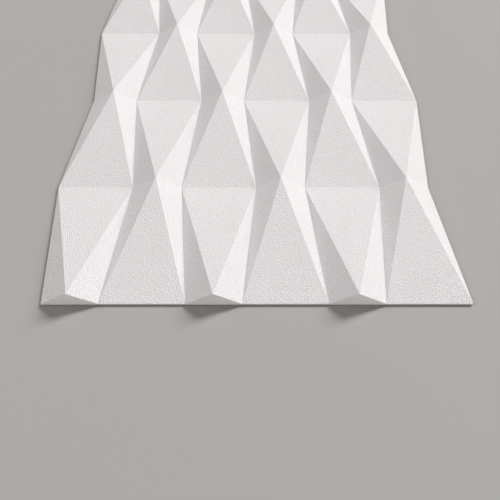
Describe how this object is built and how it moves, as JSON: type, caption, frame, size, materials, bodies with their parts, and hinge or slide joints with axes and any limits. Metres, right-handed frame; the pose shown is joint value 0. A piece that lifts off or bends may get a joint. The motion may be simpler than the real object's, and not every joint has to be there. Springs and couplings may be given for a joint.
{
  "type": "relief wall panel",
  "caption": "Rigid moulded wall panel with a flat back and a face of low staggered pyramids, whose zigzag sides nest with the next panel.",
  "frame": {"origin": "middle of the flat back, on the surface that the panel lies on", "axes": "+Y along the panel, +X across it, +Z out of the faceted face"},
  "size_m": [0.3802, 1.135, 0.016],
  "materials": {
    "white_moulding": "matt off-white coat over rigid foam, with a fine pebbled grain"
  },
  "bodies": {
    "root": {"wall_panel": "white_moulding"}
  },
  "joints": []
}
